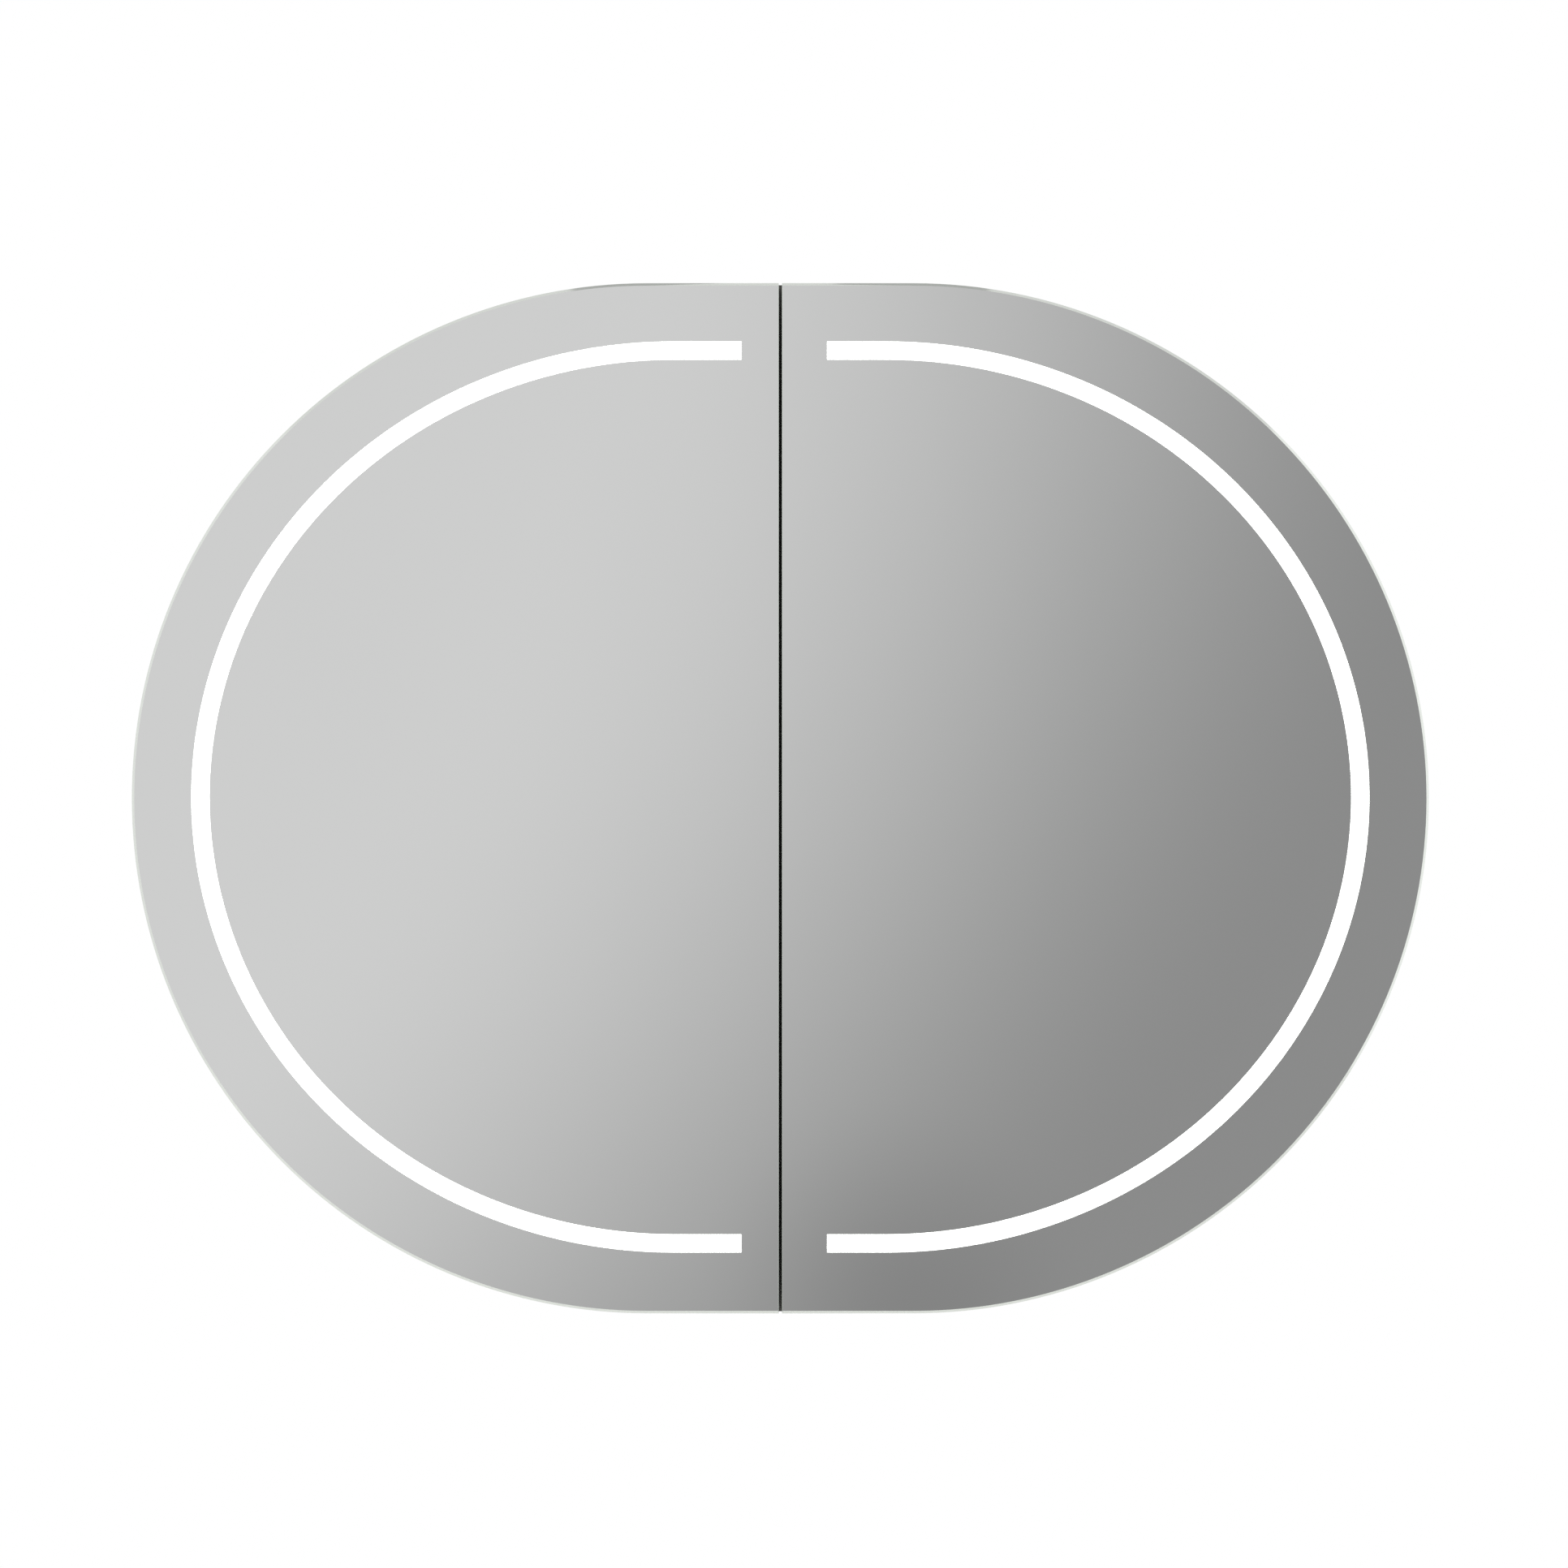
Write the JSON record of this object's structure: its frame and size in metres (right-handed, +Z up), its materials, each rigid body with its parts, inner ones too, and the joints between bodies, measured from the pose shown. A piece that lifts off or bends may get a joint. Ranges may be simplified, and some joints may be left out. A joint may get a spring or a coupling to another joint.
{
  "type": "medicine cabinet",
  "caption": "Wall-hung medicine cabinet with a pill-shaped outline, two hinged mirror doors, a lit band in each door, glass shelves and an under-mounted switch.",
  "frame": {"origin": "centre of the flat wall face, at the middle of the outline", "axes": "+X to the viewer's right, +Z up, and +Y into the wall, so the mirrors face -Y"},
  "size_m": [0.9998, 0.139, 0.794],
  "materials": {
    "white_lacquer": "satin white lacquer over board",
    "back_panel_white": "matt white coated hardboard",
    "core_board": "raw fibre board",
    "dowel_beech": "raw beech",
    "mirror": "silvered float glass with a polished bevelled edge",
    "shelf_glass": "clear toughened glass, polished edges",
    "lit_diffuser": "opal diffuser, lit evenly",
    "anodised_aluminium": "satin silver anodised",
    "channel_aluminium": "mill finish extrusion",
    "hinge_steel": "nickel plated steel",
    "screw_steel": "bright zinc plate",
    "plate_steel": "zinc plated sheet",
    "magnet_case": "white moulded case round a magnet",
    "bumper_rubber": "translucent soft rubber",
    "grommet_rubber": "black soft rubber",
    "lead_sheath": "white flexible sheath",
    "box_plastic": "fine textured white moulding",
    "switch_plastic": "gloss white moulding",
    "terminal_nylon": "natural nylon",
    "circuit_board": "green circuit board",
    "strip_board": "white strip board",
    "led_emitter": "phosphor covered light chips"
  },
  "bodies": {
    "cabinet": {"back_board": "back_panel_white", "board_dowels": "dowel_beech", "bottom_board": "white_lacquer", "cable_grommet": "grommet_rubber", "catch_magnets": "magnet_case", "centre_divider": "white_lacquer", "door_bumpers": "bumper_rubber", "driver_board": "circuit_board", "driver_box": "box_plastic", "electric_box_lids": "box_plastic", "hinge_box_screws": "screw_steel", "hinge_pins": "hinge_steel", "junction_box": "box_plastic", "lead_clips": "box_plastic", "left_door_lead": "lead_sheath", "left_hinge_box_leaf": "hinge_steel", "left_lower_corner_board": "white_lacquer", "left_lower_glass_shelf": "shelf_glass", "left_side_board": "white_lacquer", "left_upper_corner_board": "white_lacquer", "left_upper_glass_shelf": "shelf_glass", "link_lead": "lead_sheath", "right_door_lead": "lead_sheath", "right_hinge_box_leaf": "hinge_steel", "right_lower_corner_board": "white_lacquer", "right_lower_glass_shelf": "shelf_glass", "right_side_board": "white_lacquer", "right_upper_corner_board": "white_lacquer", "right_upper_glass_shelf": "shelf_glass", "seam_seal": "grommet_rubber", "shelf_pegs": "hinge_steel", "switch_housing": "switch_plastic", "terminal_block": "terminal_nylon", "top_board": "white_lacquer", "wall_plates": "plate_steel"},
    "left_door": {"left_mirror_glass": "mirror", "left_light_diffuser": "lit_diffuser", "left_light_channel": "channel_aluminium", "left_led_strip": "strip_board", "left_led_chips": "led_emitter", "left_edge_band": "anodised_aluminium", "left_door_core": "core_board", "left_door_back_board": "white_lacquer", "left_strike_plates": "plate_steel", "left_lead_grommet": "grommet_rubber", "left_hinge_door_leaf": "hinge_steel", "left_hinge_door_screws": "screw_steel"},
    "right_door": {"right_mirror_glass": "mirror", "right_light_diffuser": "lit_diffuser", "right_light_channel": "channel_aluminium", "right_led_strip": "strip_board", "right_led_chips": "led_emitter", "right_edge_band": "anodised_aluminium", "right_door_core": "core_board", "right_door_back_board": "white_lacquer", "right_strike_plates": "plate_steel", "right_lead_grommet": "grommet_rubber", "right_hinge_door_leaf": "hinge_steel", "right_hinge_door_screws": "screw_steel"},
    "switch_rocker": {"switch_rocker": "switch_plastic"}
  },
  "joints": [
    {"name": "left_door_hinge", "type": "hinge", "parent": "cabinet", "child": "left_door", "pos_m": [-0.47437, -0.1119, 0], "axis": [0, 0, -1], "range_deg": [0, 105], "deforming": ["left_door_lead"]},
    {"name": "right_door_hinge", "type": "hinge", "parent": "cabinet", "child": "right_door", "pos_m": [0.47437, -0.1119, 0], "axis": [0, 0, 1], "range_deg": [0, 105], "deforming": ["right_door_lead"]},
    {"name": "switch_rock", "type": "hinge", "parent": "cabinet", "child": "switch_rocker", "pos_m": [0.06, -0.06, -0.38], "axis": [0, -1, 0], "range_deg": [0, 16]}
  ]
}
